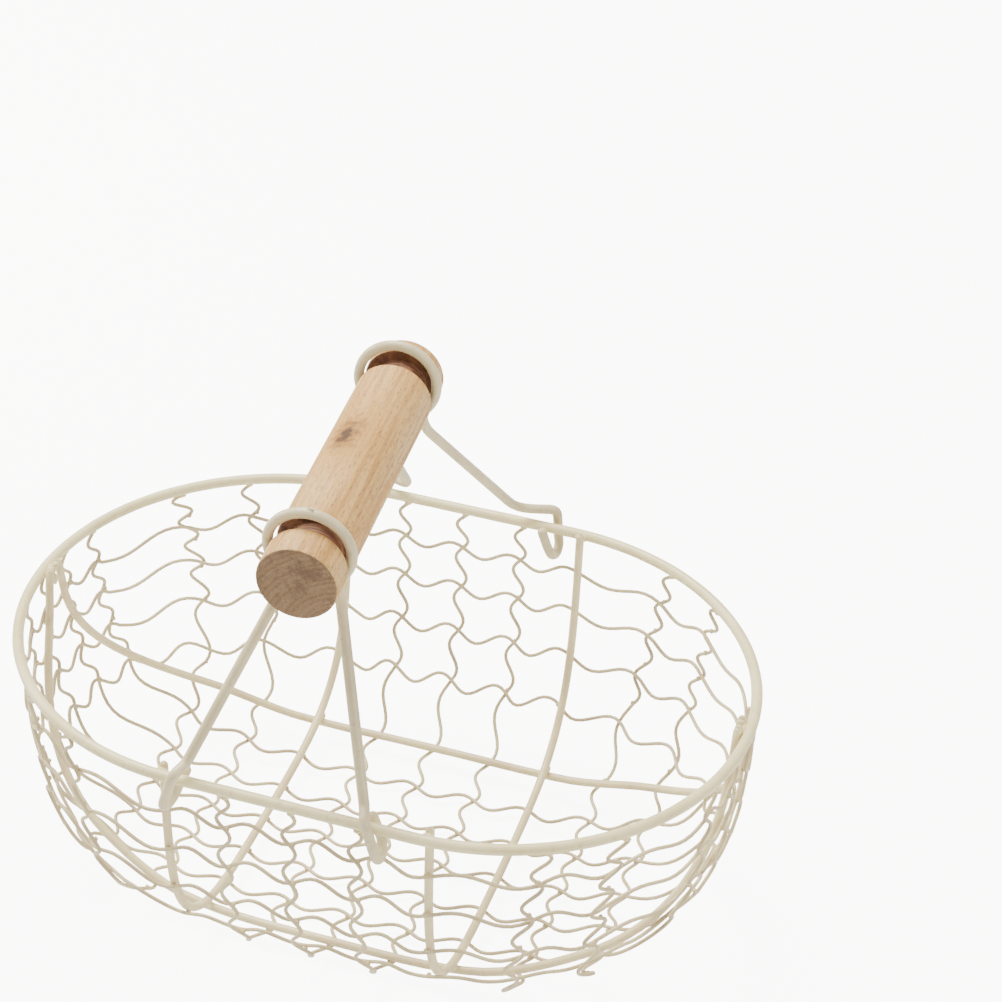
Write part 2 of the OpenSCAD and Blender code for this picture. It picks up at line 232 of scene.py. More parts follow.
def hoop_angle(hoop, share):
    start = LOW_HOOP + hoop * HOOP_PITCH
    last = LOW_HOOP + 3 * HOOP_PITCH
    return start + HOOP_LIFT * (last - start) * sine(90 * share) ** 2


def hoop_section(angle):
    point = on_bowl_across(0, 0, angle, HOOP_OUT)
    return point.y / (BOWL_R + HOOP_OUT), point.z


def cross_meets_hoop(x, lean, hoop):
    share = clamp(abs(x) / (STRAIGHT + BOWL_R))
    point = on_bowl_across(x, lean, hoop_angle(hoop, share), HOOP_OUT)
    return angle_of(point.y, BOWL_TOP - point.z)


def long_meets_hoop(y, lean, hoop):
    k, z = hoop_section(hoop_angle(hoop, 1))
    angle = angle_of(k * (STRAIGHT + BOWL_R + HOOP_OUT), BOWL_TOP - z)
    point = on_bowl_along(y, lean, angle, HOOP_OUT)
    return angle_of(point.x, BOWL_TOP - point.z)


def cross_stops(x, lean):
    stops = []
    for y in (0, LONG_PITCH, 2 * LONG_PITCH, LENGTH_RIB_Y):
        stops.append(angle_of(y, BOWL_TOP - on_bowl_below(abs(x), y, LONG_WIRE_OUT).z))
    for hoop in range(4):
        stops.append(cross_meets_hoop(x, lean, hoop))
    stops.append(angle_of(BOWL_R, BOWL_TOP - NET_TOP))
    return stops


def long_stops(y, lean):
    stops = []
    for k in range(5):
        x = k * CROSS_PITCH
        stops.append(angle_of(x, BOWL_TOP - on_bowl_below(x, abs(y), LONG_WIRE_OUT).z))
    for hoop in range(4):
        stops.append(long_meets_hoop(y, lean, hoop))
    stops.append(angle_of(STRAIGHT + BOWL_R, BOWL_TOP - NET_TOP))
    return stops


def both_ways(stops):
    return [-s for s in reversed(stops[1:])] + stops


def ripple(t):
    return WAVE * sine(360 * t)


def bulge(t):
    return WAVE_BULGE * (1 - cosine(360 * t)) / 2


def cross_wire_out(angle):
    up_the_wall = smooth((abs(angle) - WALL_FROM_ANGLE) / WALL_TURN_ANGLE)
    return mix(CROSS_WIRE_OUT_FLOOR, CROSS_WIRE_OUT_WALL, up_the_wall)


def cross_wire_point(x, lean, angle, shift):
    point = on_bowl_across(x + shift, lean, angle, cross_wire_out(angle))
    point.z = max(NET_LOW, min(point.z, NET_TOP))
    return point


def long_wire_point(y, lean, angle, shift):
    point = on_bowl_along(y + shift, lean, angle, LONG_WIRE_OUT)
    point.z = min(point.z, NET_TOP)
    return point


QUARTER = STRAIGHT + 90
LAP = 4 * QUARTER


def hoop_point(hoop, station, shift):
    """A hoop's point at a station: millimetres along a straight side, then degrees round an end."""
    quarter = int(station // QUARTER) % 4
    rest = station % QUARTER
    s = rest if quarter % 2 == 0 else QUARTER - rest
    share = clamp((s - STRAIGHT) / 90)
    angle = hoop_angle(hoop, share) + math.degrees(shift / BOWL_R)
    k, z = hoop_section(angle)
    x = k * (min(s, STRAIGHT) + (BOWL_R + HOOP_OUT) * sine(90 * share))
    y = k * (BOWL_R + HOOP_OUT) * cosine(90 * share)
    return Vector((x if quarter < 2 else -x, -y if quarter in (1, 2) else y, z))


def station_of_x(x, k):
    if x <= k * STRAIGHT:
        return x / k
    return STRAIGHT + math.degrees(math.asin(min(1, (x - k * STRAIGHT) / (k * (BOWL_R + HOOP_OUT)))))


def station_of_y(y, k):
    return QUARTER - math.degrees(math.asin(y / (k * (BOWL_R + HOOP_OUT))))


def hoop_stops(hoop):
    k, z = hoop_section(hoop_angle(hoop, 0.5))
    end, _ = hoop_section(hoop_angle(hoop, 1))
    share = height_share(z)
    close = 1 - LONG_CLOSE * share
    stops = [0, station_of_x(CROSS_PITCH, k), station_of_x(CROSS_RIB_X, k)]
    stops.append(station_of_x(3 * CROSS_PITCH + LEAN_3 * share, k))
    stops.append(station_of_x(4 * CROSS_PITCH + LEAN_4 * share, k))
    stops += [station_of_y(LONG_PITCH * i * close, end) for i in (2, 1)]
    return stops


def all_round(stops):
    half_lap = 2 * QUARTER
    half = stops + [QUARTER] + [half_lap - s for s in reversed(stops)]
    return half + [half_lap + s for s in half[1:]]


# Making a wire

SHARE_MIDDLE = 0.975
SHARE_SWING = 0.024
TIP_ANGLES = (0, 18, 36, 52, 66, 78, 86)
MERGE_WITHIN = 0.002


def hand_made(line, thickness):
    """The full thickness of a painted wire varies a little along its length."""
    shares = []
    for point in line:
        value = noise.noise(point * (0.09 + 0.12 / thickness))
        shares.append(SHARE_MIDDLE + SHARE_SWING * max(-1.0, min(1.0, value * 1.6)))
    return list(zip(line, shares))


def round_end(line, r):
    """Ends a line of points in a rounded tip of radius r."""
    tip, share = line[-1]
    back = (line[-2][0] - tip).normalized()
    while len(line) > 2 and (line[-1][0] - tip).length < r:
        line.pop()
    for angle in TIP_ANGLES:
        line.append((tip + back * r * (1 - sine(angle)), share * cosine(angle)))


def both_ends_round(line, r):
    round_end(line, r)
    line.reverse()
    round_end(line, r)
    line.reverse()


def link_piece(piece):
    bpy.context.scene.collection.objects.link(piece)
    return piece


def bent_wire(name, line, thickness, roundness, closed=False):
    """A round wire along a line of points, each with its share of the full thickness."""
    curve = bpy.data.curves.new(name + "_line", "CURVE")
    curve.dimensions = "3D"
    curve.bevel_depth = thickness / 2 * MM
    curve.bevel_resolution = roundness
    curve.use_fill_caps = not closed
    spline = curve.splines.new("POLY")
    spline.points.add(len(line) - 1)
    for place, (point, share) in zip(spline.points, line):
        place.co = (point.x * MM, point.y * MM, point.z * MM, 1)
        place.radius = share
    spline.use_cyclic_u = closed
    former = link_piece(bpy.data.objects.new(name + "_former", curve))
    bpy.context.view_layer.update()
    graph = bpy.context.evaluated_depsgraph_get()
    mesh = bpy.data.meshes.new_from_object(former.evaluated_get(graph))
    bpy.data.objects.remove(former)
    shape = bmesh.new()
    shape.from_mesh(mesh)
    bmesh.ops.remove_doubles(shape, verts=shape.verts, dist=MERGE_WITHIN * MM)
    bmesh.ops.recalc_face_normals(shape, faces=shape.faces)
    shape.to_mesh(mesh)
    shape.free()
    mesh.shade_smooth()
    return link_piece(bpy.data.objects.new(name, mesh))


def finish_piece(piece, body, materials, nodes=()):
    piece.data.materials.clear()
    for material in materials:
        piece.data.materials.append(material)
    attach(piece, body)
    if nodes:
        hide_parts(*nodes)


# Node helpers

def new_material(name):
    material = bpy.data.materials.new(name)
    material.use_nodes = True
    tree = material.node_tree
    shader = tree.nodes["Principled BSDF"]
    return material, tree, shader


def add(tree, kind, **settings):
    made = tree.nodes.new(kind)
    for key, value in settings.items():
        setattr(made, key, value)
    return made


def join(tree, source, target):
    tree.links.new(source, target)


def object_place(tree):
    return add(tree, "ShaderNodeTexCoord").outputs["Object"]


def scaled_place(tree, place, scale):
    mapping = add(tree, "ShaderNodeMapping")
    mapping.inputs["Scale"].default_value = scale
    join(tree, place, mapping.inputs["Vector"])
    return mapping.outputs["Vector"]


def cloudy(tree, place, size_mm, detail=2.0, roughness=0.5, distortion=0.0):
    """A soft random pattern whose blotches are about size_mm across."""
    made = add(tree, "ShaderNodeTexNoise")
    made.inputs["Scale"].default_value = 1000.0 / size_mm
    made.inputs["Detail"].default_value = detail
    made.inputs["Roughness"].default_value = roughness
    made.inputs["Distortion"].default_value = distortion
    join(tree, place, made.inputs["Vector"])
    return made.outputs["Fac"]


def between(tree, value, low, high, out_low=0.0, out_high=1.0):
    """Turns a value between low and high into one between out_low and out_high, smoothly."""
    made = add(tree, "ShaderNodeMapRange", interpolation_type="SMOOTHSTEP")
    made.inputs["From Min"].default_value = low
    made.inputs["From Max"].default_value = high
    made.inputs["To Min"].default_value = out_low
    made.inputs["To Max"].default_value = out_high
    join(tree, value, made.inputs["Value"])
    return made.outputs["Result"]


def sum_node(tree, operation, a, b):
    """A sum of a socket and either a second socket or a plain number."""
    made = add(tree, "ShaderNodeMath", operation=operation)
    join(tree, a, made.inputs[0])
    if isinstance(b, (int, float)):
        made.inputs[1].default_value = b
    else:
        join(tree, b, made.inputs[1])
    return made.outputs[0]


def times(tree, a, b):
    return sum_node(tree, "MULTIPLY", a, b)


def plus(tree, a, b):
    return sum_node(tree, "ADD", a, b)


def larger(tree, a, b):
    return sum_node(tree, "MAXIMUM", a, b)


def tint(tree, under, over, share):
    """Lays one colour over another. Either may be a socket or a plain colour."""
    made = add(tree, "ShaderNodeMix", data_type="RGBA")
    for value, socket in ((under, made.inputs[6]), (over, made.inputs[7])):
        if isinstance(value, tuple):
            socket.default_value = (*value, 1)
        else:
            join(tree, value, socket)
    join(tree, share, made.inputs[0])
    return made.outputs[2]


def distance_to(tree, place, point_mm, scale=(1, 1, 1)):
    """Distance in millimetres from a point, with each axis counted at its own scale."""
    made = add(tree, "ShaderNodeMapping", vector_type="TEXTURE")
    made.inputs["Location"].default_value = [value * MM for value in point_mm]
    made.inputs["Scale"].default_value = [MM / value for value in scale]
    join(tree, place, made.inputs["Vector"])
    length = add(tree, "ShaderNodeVectorMath", operation="LENGTH")
    join(tree, made.outputs["Vector"], length.inputs[0])
    return length.outputs["Value"]


def raise_surface(tree, shader, height, depth_mm, strength):
    bump = add(tree, "ShaderNodeBump")
    bump.inputs["Strength"].default_value = strength
    bump.inputs["Distance"].default_value = depth_mm * MM
    join(tree, height, bump.inputs["Height"])
    join(tree, bump.outputs["Normal"], shader.inputs["Normal"])


# Paint

def cream_paint(name, cream, shade, thin_coat, chip_masks):
    """Baked powder paint: cloudy cream, a fine orange peel, thin places and a few chips."""
    material, tree, shader = new_material(name)
    place = object_place(tree)
    cloud = between(tree, cloudy(tree, place, 22, 3, 0.6), 0.35, 0.68)
    colour = tint(tree, cream, shade, cloud)
    speckle = between(tree, cloudy(tree, place, 3.2, 4, 0.65), 0.56, 0.72)
    colour = tint(tree, colour, thin_coat, times(tree, speckle, 0.5))
    dust = between(tree, cloudy(tree, place, 0.7, 2, 0.5), 0.62, 0.74)
    colour = tint(tree, colour, (0.42, 0.35, 0.24), times(tree, dust, 0.22))
    pits = between(tree, cloudy(tree, place, 1.1, 3, 0.6), 0.715, 0.75)
    chips = pits
    for make_mask in chip_masks:
        chips = larger(tree, chips, make_mask(tree, place))
    colour = tint(tree, colour, (0.085, 0.068, 0.052), times(tree, chips, 0.85))
    join(tree, colour, shader.inputs["Base Color"])
    peel = cloudy(tree, place, 0.9, 3, 0.55)
    rough = plus(tree, between(tree, peel, 0.3, 0.7, 0.30, 0.46), times(tree, chips, 0.3))
    join(tree, rough, shader.inputs["Roughness"])
    height = plus(tree, times(tree, peel, 0.7), times(tree, cloudy(tree, place, 3.4, 2), 0.6))
    height = plus(tree, height, times(tree, chips, -1.2))
    raise_surface(tree, shader, height, 0.12, 0.5)
    shader.inputs["Coat Weight"].default_value = 0.12
    shader.inputs["Coat Roughness"].default_value = 0.22
    shader.inputs["IOR"].default_value = 1.5
    return material


def chips_at_tips(tree, place):
    """Bare steel shows at the cut tips of the ribs."""
    parts = add(tree, "ShaderNodeSeparateXYZ")
    join(tree, place, parts.inputs[0])
    high = between(tree, parts.outputs["Z"], 91.75 * MM, 92.5 * MM)
    broken = between(tree, cloudy(tree, place, 1.3, 3, 0.6), 0.46, 0.56)
    return times(tree, times(tree, high, broken), 0.45)


def chip_on_ring(tree, place):
    """A small chip on top of the front ring, where it is hung up."""
    near = between(tree, distance_to(tree, place, (-3.9, -53.4, 178.1), (0.8, 1.1, 1)), 0.7, 1.4, 1, 0)
    broken = between(tree, cloudy(tree, place, 0.9, 3, 0.6), 0.40, 0.50)
    return times(tree, near, broken)


def frame_paint():
    cream = (0.90, 0.81, 0.47)
    return cream_paint("cream_frame_paint", cream, (0.79, 0.69, 0.37), (0.64, 0.535, 0.27), [])


def rib_paint():
    cream = (0.84, 0.735, 0.42)
    return cream_paint("cream_rib_paint", cream, (0.72, 0.59, 0.34), (0.58, 0.46, 0.25), [chips_at_tips])


def bail_paint():
    cream = (0.73, 0.645, 0.40)
    return cream_paint("cream_bail_paint", cream, (0.60, 0.51, 0.315), (0.50, 0.41, 0.24), [chip_on_ring])


def net_paint():
    # The net has the frame's cream paint; this darker cream is painted shade, as thin wires look darker
    # against the pale ground.
    cream = (0.68, 0.58, 0.33)
    return cream_paint("cream_net_paint_darkened_as_shade", cream, (0.52, 0.415, 0.235), (0.38, 0.285, 0.15), [])


# Wood

def grip_place(tree):
    """The place on the grip, counted from its middle, with Y along its axis."""
    made = add(tree, "ShaderNodeMapping", vector_type="TEXTURE")
    made.inputs["Location"].default_value = GRIP_MID * MM
    made.inputs["Rotation"].default_value = (math.radians(GRIP_TILT), 0, math.radians(GRIP_TURN))
    join(tree, object_place(tree), made.inputs["Vector"])
    return made.outputs["Vector"]


def growth_rings(tree, place, spacing_mm, wobble):
    """Rings round a pith that lies outside the grip, so that they cross its end as arcs."""
    moved = add(tree, "ShaderNodeMapping")
    moved.inputs["Location"].default_value = (-0.017, 0, 0.021)
    join(tree, place, moved.inputs["Vector"])
    rings = add(tree, "ShaderNodeTexWave", wave_type="RINGS", rings_direction="Y")
    rings.inputs["Scale"].default_value = math.pi / (10 * spacing_mm * MM)
    rings.inputs["Distortion"].default_value = wobble
    rings.inputs["Detail"].default_value = 3
    rings.inputs["Detail Scale"].default_value = 0.6
    join(tree, scaled_place(tree, moved.outputs["Vector"], (1, 0.12, 1)), rings.inputs["Vector"])
    return rings.outputs["Fac"]


def flecks(tree, place, across_mm, along_mm, low, high):
    """Short dark lines along the grain."""
    cells = add(tree, "ShaderNodeTexVoronoi", feature="F1")
    cells.inputs["Scale"].default_value = 1.0
    cells.inputs["Randomness"].default_value = 1.0
    across = 1000 / across_mm
    stretched = scaled_place(tree, place, (across, 1000 / along_mm, across))
    join(tree, stretched, cells.inputs["Vector"])
    return between(tree, cells.outputs["Distance"], low, high, 1, 0)


def knot_masks(tree, place):
    """A dark core, the brown swirl round it and the wider orange stain of the knot."""
    wander = cloudy(tree, place, 2.4, 4, 0.65)
    ragged = times(tree, plus(tree, wander, -0.5), 5.5)
    near = plus(tree, distance_to(tree, place, (-3.4, 0.4, 11.9), (0.75, 0.34, 0.6)), ragged)
    core = between(tree, near, 0.5, 2.3, 1, 0)
    swirl = between(tree, near, 1.6, 4.6, 1, 0)
    stain = between(tree, near, 2.0, 11.0, 1, 0)
    second = plus(tree, distance_to(tree, place, (-0.2, 5.4, 12.3), (0.95, 0.42, 0.6)), ragged)
    mark = between(tree, second, 0.2, 2.6, 1, 0)
    return core, larger(tree, swirl, times(tree, mark, 0.75)), stain


def side_wood():
    """Pale steamed beech, turned and sanded: streaks, rays, orange stain, a knot."""
    material, tree, shader = new_material("turned_beech_side")
    place = grip_place(tree)
    core, swirl, stain = knot_masks(tree, place)
    streaks = cloudy(tree, scaled_place(tree, place, (1, 0.045, 1)), 1.5, 4, 0.6, 0.2)
    bands = cloudy(tree, scaled_place(tree, place, (1, 0.06, 1)), 6.5, 2, 0.5, 0.3)
    rings = growth_rings(tree, place, 2.3, 3.5)
    colour = tint(tree, (0.69, 0.425, 0.14), (0.46, 0.24, 0.062), between(tree, streaks, 0.38, 0.64))
    colour = tint(tree, colour, (0.75, 0.50, 0.215), times(tree, between(tree, bands, 0.45, 0.7), 0.7))
    colour = tint(tree, colour, (0.50, 0.29, 0.15), times(tree, between(tree, rings, 0.62, 0.98), 0.34))
    patch = between(tree, cloudy(tree, scaled_place(tree, place, (1, 0.3, 1)), 9, 3, 0.6), 0.54, 0.74)
    colour = tint(tree, colour, (0.60, 0.315, 0.06), times(tree, patch, 0.7))
    colour = tint(tree, colour, (0.56, 0.285, 0.05), times(tree, stain, 0.7))
    rays = flecks(tree, place, 0.85, 5.0, 0.15, 0.29)
    colour = tint(tree, colour, (0.25, 0.115, 0.045), times(tree, rays, 0.68))
    fine = flecks(tree, place, 0.5, 2.2, 0.14, 0.29)
    colour = tint(tree, colour, (0.28, 0.135, 0.055), times(tree, fine, 0.52))
    mottle = between(tree, cloudy(tree, scaled_place(tree, place, (1, 0.45, 1)), 1.1, 3, 0.65), 0.52, 0.66)
    colour = tint(tree, colour, (0.42, 0.21, 0.075), times(tree, mottle, 0.5))
    colour = tint(tree, colour, (0.27, 0.115, 0.012), times(tree, swirl, 0.8))
    colour = tint(tree, colour, (0.06, 0.024, 0.004), times(tree, core, 0.95))
    join(tree, colour, shader.inputs["Base Color"])
    join(tree, between(tree, streaks, 0.3, 0.7, 0.52, 0.70), shader.inputs["Roughness"])
    height = plus(tree, times(tree, streaks, 0.6), times(tree, rays, -0.5))
    height = plus(tree, height, times(tree, fine, -0.3))
    height = plus(tree, height, times(tree, core, -1.2))
    raise_surface(tree, shader, height, 0.10, 0.55)
    return material


def end_grain_wood_with_painted_shade():
    """Sawn end grain: arcs, pores and a dark stain. It is darker than the sides, partly as end grain is and
    partly as painted shade for an end turned away from the lamps.
    """
    material, tree, shader = new_material("turned_beech_end_grain_and_painted_shade")
    place = grip_place(tree)
    rings = growth_rings(tree, place, 1.7, 2.2)
    wide = growth_rings(tree, place, 5.2, 5.0)
    # These dark browns are the end grain's own colour, darkened further as painted shade.
    colour = tint(tree, (0.235, 0.142, 0.072), (0.195, 0.112, 0.053), between(tree, rings, 0.35, 0.95))
    colour = tint(tree, colour, (0.29, 0.19, 0.105), times(tree, between(tree, wide, 0.5, 0.9), 0.35))
    blotch = between(tree, cloudy(tree, place, 4.5, 4, 0.65), 0.50, 0.66)
    colour = tint(tree, colour, (0.12, 0.066, 0.035), times(tree, blotch, 0.65))
    pores = flecks(tree, place, 0.42, 40.0, 0.14, 0.30)
    colour = tint(tree, colour, (0.075, 0.040, 0.022), times(tree, pores, 0.6))
    fuzz = between(tree, cloudy(tree, place, 0.6, 3, 0.6), 0.55, 0.72)
    colour = tint(tree, colour, (0.42, 0.28, 0.155), times(tree, fuzz, 0.5))
    crescent = distance_to(tree, place, (3.4, -60.0, 4.6), (0.9, 0.4, 1.5))
    stained = between(tree, crescent, 1.2, 4.8, 1, 0)
    colour = tint(tree, colour, (0.095, 0.045, 0.024), times(tree, stained, 0.65))
    join(tree, colour, shader.inputs["Base Color"])
    join(tree, between(tree, fuzz, 0.0, 1.0, 0.72, 0.9), shader.inputs["Roughness"])
    height = plus(tree, times(tree, rings, 0.5), times(tree, pores, -0.8))
    height = plus(tree, height, times(tree, fuzz, 0.4))
    raise_surface(tree, shader, height, 0.12, 0.6)
    return material


def groove_wood_burnt_and_painted_shade():
    """The grooves are burnt dark by the turning tool, with fine lines round them; their dark brown is also
    painted shade for the recess under the rings.
    """
    material, tree, shader = new_material("turned_beech_groove_burn_and_painted_shade")
    place = grip_place(tree)
    lines = cloudy(tree, scaled_place(tree, place, (0.06, 1, 0.06)), 0.7, 3, 0.6)
    scorch = cloudy(tree, place, 5.0, 3, 0.6)
    # Burnt browns, darkened further as painted shade in the recess.
    colour = tint(tree, (0.19, 0.075, 0.03), (0.075, 0.026, 0.010), between(tree, lines, 0.35, 0.65))
    colour = tint(tree, colour, (0.32, 0.145, 0.062), times(tree, between(tree, scorch, 0.48, 0.7), 0.5))
    join(tree, colour, shader.inputs["Base Color"])
    join(tree, between(tree, lines, 0.3, 0.7, 0.6, 0.8), shader.inputs["Roughness"])
    raise_surface(tree, shader, lines, 0.15, 0.6)
    return material


# Rim and ribs

def rim_line():
    line = []
    for side in (1, -1):
        for step in range(RIM_SIDE_STEPS):
            x = side * mix(-STRAIGHT, STRAIGHT, step / RIM_SIDE_STEPS)
            line.append(Vector((x, side * RIM_R, RIM_Z)))
        for step in range(RIM_END_STEPS):
            angle = 90 - 180 / RIM_END_STEPS * step
            x = side * (STRAIGHT + RIM_R * cosine(angle))
            line.append(Vector((x, side * RIM_R * sine(angle), RIM_Z)))
    return line


def butt_weld(line, place, width):
    """The rim's two ends meet here: the paint runs thicker over the weld."""
    welded = []
    for point, share in line:
        near = math.exp(-((point - place).length / width) ** 2)
        welded.append((point, mix(share, 1.0, near)))
    return welded


def make_rim(paint):
    line = butt_weld(hand_made(rim_line(), RIM_D), Vector(RIM_JOIN), 2.5)
    piece = bent_wire("painted_rim", line, RIM_D, 8, closed=True)
    finish_piece(piece, "basket", [paint], ["rim_hoop"])


def mirrored(line, axis):
    """Turns half a wire into the whole one, the same on both sides of the middle."""
    other = []
    for point in reversed(line[1:]):
        copy = point.copy()
        copy[axis] = -copy[axis]
        other.append(copy)
    return other + line


def cross_rib_line(side):
    arm = [on_bowl_across(side * CROSS_RIB_X, 0, angle * 2.0, 0) for angle in range(46)]
    arm.append(Vector((arm[-1].x, arm[-1].y, RIB_TOP)))
    return mirrored(arm, 1)


def length_rib_point(t):
    x = (STRAIGHT + BOWL_R) * sine(t) ** (2 / RIB_SQUARENESS)
    y = mix(RIB_MEET_Y, LENGTH_RIB_Y, max(0.0, cosine(t)))
    rise = smooth((x - RIB_RISE_FROM) / (RIB_RISE_TO - RIB_RISE_FROM))
    return on_bowl_below(x, y, LENGTH_RIB_OUT * (1 - rise))


def length_rib_line(side):
    steps = [0, 1, 2.5, 5, 7.5, 10, 13, 16, 19, 22, 25, 28, 31.5, 35, 38.5, 42, 45.5, 49, 52.5, 56]
    steps += [59.5, 63, 66.5, 70, 73, 76, 78.5, 81, 83, 85, 86.5, 88, 89, 90]
    arm = [length_rib_point(t) for t in steps]
    arm.append(Vector((arm[-1].x, arm[-1].y, RIB_TOP)))
    return [Vector((p.x, side * p.y, p.z)) for p in mirrored(arm, 0)]


def make_rib(name, points, paint, node):
    line = hand_made(points, RIB_D)
    both_ends_round(line, RIB_D / 2)
    piece = bent_wire(name, line, RIB_D, 6)
    finish_piece(piece, "basket", [paint], [node])


def make_ribs(paint):
    make_rib("cross_rib_left_wire", cross_rib_line(-1), paint, "cross_rib_left")
    make_rib("cross_rib_right_wire", cross_rib_line(1), paint, "cross_rib_right")
    make_rib("length_rib_front_wire", length_rib_line(-1), paint, "length_rib_front")
    make_rib("length_rib_back_wire", length_rib_line(1), paint, "length_rib_back")


# Net

def waved_line(stops, point_at):
    """A wire that waves once between each stop and the next, without the last stop's point.

    point_at turns a place on the wire and the share of the wave into a point.
    """
    line = []
    for first, second in zip(stops, stops[1:]):
        for step in range(WAVE_STEPS):
            t = step / WAVE_STEPS
            line.append(point_at(mix(first, second, t), t))
    return line


def cross_wire_line(x, lean):
    stops = both_ways(cross_stops(x, lean))
    line = waved_line(stops, lambda angle, t: cross_wire_point(x, lean, angle, ripple(t) - bulge(t)))
    return line + [cross_wire_point(x, lean, stops[-1], 0)]


def long_wire_line(y, lean):
    stops = both_ways(long_stops(y, lean))
    line = waved_line(stops, lambda angle, t: long_wire_point(y, lean, angle, -ripple(t) - bulge(t)))
    return line + [long_wire_point(y, lean, stops[-1], 0)]


def hoop_line(hoop):
    def point_at(station, t):
        shift = -ripple(t) - cosine(360 * station / LAP) * bulge(t)
        return hoop_point(hoop, station % LAP, shift)
    return waved_line(all_round(hoop_stops(hoop)), point_at)


def make_net_wire(name, points, paint, node, closed=False):
    piece = bent_wire(name, hand_made(points, NET_D), NET_D, 3, closed)
    finish_piece(piece, "basket", [paint], [node])


def make_net(paint):
    for number, (index, lean) in enumerate(CROSS_WIRES, 1):
        line = cross_wire_line(CROSS_PITCH * index, lean)
        make_net_wire(f"cross_wire_{number}", line, paint, f"net_cross_wire_{number}")
    for number, index in enumerate(LONG_WIRES, 1):
        y = LONG_PITCH * index
        line = long_wire_line(y, -LONG_CLOSE * y)
        make_net_wire(f"long_wire_{number}", line, paint, f"net_long_wire_{number}")
    for hoop in range(4):
        make_net_wire(f"hoop_wire_{hoop + 1}", hoop_line(hoop), paint, f"net_hoop_{hoop + 1}", True)


# Weld beads

NET_BEAD = 0.74
RIM_END_BEAD = 1.15
CROSS_WIRE_GAP = 1.35
HOOP_GAP = 1.5

def bowl_inward(point):
    return (Vector((0, 0, BOWL_TOP)) - point).normalized()


def bead(shape, centre, size, facing, segments=8, rings=6):
    """One bead of paint over a weld: a ball, wider than it is thick."""
    turn = facing.to_track_quat("Z", "Y").to_matrix().to_4x4()
    stretch = Matrix.Diagonal((size[0] * MM, size[1] * MM, size[2] * MM, 1))
    place = Matrix.Translation(centre * MM) @ turn @ stretch
    bmesh.ops.create_uvsphere(shape, u_segments=segments, v_segments=rings, radius=1.0, matrix=place)


def beads_piece(name, shape, paint):
    mesh = bpy.data.meshes.new(name)
    shape.to_mesh(mesh)
    shape.free()
    mesh.shade_smooth()
    piece = link_piece(bpy.data.objects.new(name, mesh))
    finish_piece(piece, "basket", [paint])


def net_bead(shape, chance, point, gap):
    """A bead where two wires of the net touch, halfway between their middles."""
    inward = bowl_inward(point)
    size = NET_BEAD + 0.12 * chance.random()
    wide = size * (1.0 + 0.2 * chance.random())
    centre = point + inward * gap / 2
    centre.z = max(centre.z, size + 0.15)
    bead(shape, centre, (wide, wide, size * 0.85), inward)


def make_net_welds(paint):
    shape = bmesh.new()
    chance = random.Random(7)
    for index, lean in CROSS_WIRES:
        x = CROSS_PITCH * index
        for number, angle in enumerate(cross_stops(x, lean)[:8]):
            for side in ((1,) if number == 0 else (1, -1)):
                net_bead(shape, chance, cross_wire_point(x, lean, side * angle, 0), CROSS_WIRE_GAP)
    for index in LONG_WIRES:
        y = LONG_PITCH * index
        for number, angle in enumerate(long_stops(y, -LONG_CLOSE * y)[:9]):
            if number in (2, 5, 6, 7, 8):
                for side in (1, -1):
                    net_bead(shape, chance, long_wire_point(y, -LONG_CLOSE * y, side * angle, 0), HOOP_GAP)
    for hoop in range(4):
        station = hoop_stops(hoop)[2]
        for place in (station, LAP / 2 - station, LAP / 2 + station, LAP - station):
            net_bead(shape, chance, hoop_point(hoop, place, 0), HOOP_GAP)
    beads_piece("net_welds", shape, paint)


def make_rim_end_beads(shape, chance):
    """The net's wires end in a bead under the rim."""
    for index, lean in CROSS_WIRES:
        x = CROSS_PITCH * index
        for side in (1, -1):
            end = cross_wire_point(x, lean, side * cross_stops(x, lean)[-1], 0)
            grown = RIM_END_BEAD + 0.25 * chance.random()
            bead(shape, end + Vector((0, 0, 0.5)), (grown * 1.1, grown, grown * 0.7), Vector((0, 0, 1)))
    for index in LONG_WIRES:
        y = LONG_PITCH * index
        for side in (1, -1):
            stop = long_stops(y, -LONG_CLOSE * y)[-1]
            end = long_wire_point(y, -LONG_CLOSE * y, side * stop, 0)
            grown = RIM_END_BEAD + 0.25 * chance.random()
            bead(shape, end + Vector((0, 0, 0.5)), (grown, grown * 1.1, grown * 0.7), Vector((0, 0, 1)))


def make_rib_welds(paint):
    shape = bmesh.new()
    chance = random.Random(11)
    for x in (-CROSS_RIB_X, CROSS_RIB_X):
        for side in (1, -1):
            centre = Vector((x, side * (BOWL_R + 1.45), RIM_Z - 0.1))
            grown = 0.95 + 0.15 * chance.random()
            bead(shape, centre, (2.1 * grown, 1.5, 1.0 * grown), Vector((0, side, 0.0)), 16, 10)
            floor = Vector((x, side * LENGTH_RIB_Y, 0))
            floor.z = on_bowl_below(abs(x), LENGTH_RIB_Y, 1.5).z
            bead(shape, floor, (1.75 * grown, 1.75 * grown, 1.35), bowl_inward(floor), 14, 8)
    for end in (-1, 1):
        centre = Vector((end * (STRAIGHT + BOWL_R + 1.4), 0, RIM_Z - 0.2))
        bead(shape, centre, (2.9, 1.6, 1.1), Vector((end, 0, 0)), 16, 10)
        lower = Vector((end * (STRAIGHT + BOWL_R - 0.1), 0, RIM_Z - 3.4))
        bead(shape, lower, (0.9, 2.4, 0.9), Vector((end, 0, 0)), 12, 8)
    make_rim_end_beads(shape, chance)
    beads_piece("rib_and_rim_welds", shape, paint)


# Bails

def rounded_corner(a, b, c, size, steps):
    p = b + size * (a - b).normalized()
    q = b + size * (c - b).normalized()
    points = []
    for step in range(steps + 1):
        t = step / steps
        points.append(mix(mix(p, b, t), mix(b, q, t), t))
    return points


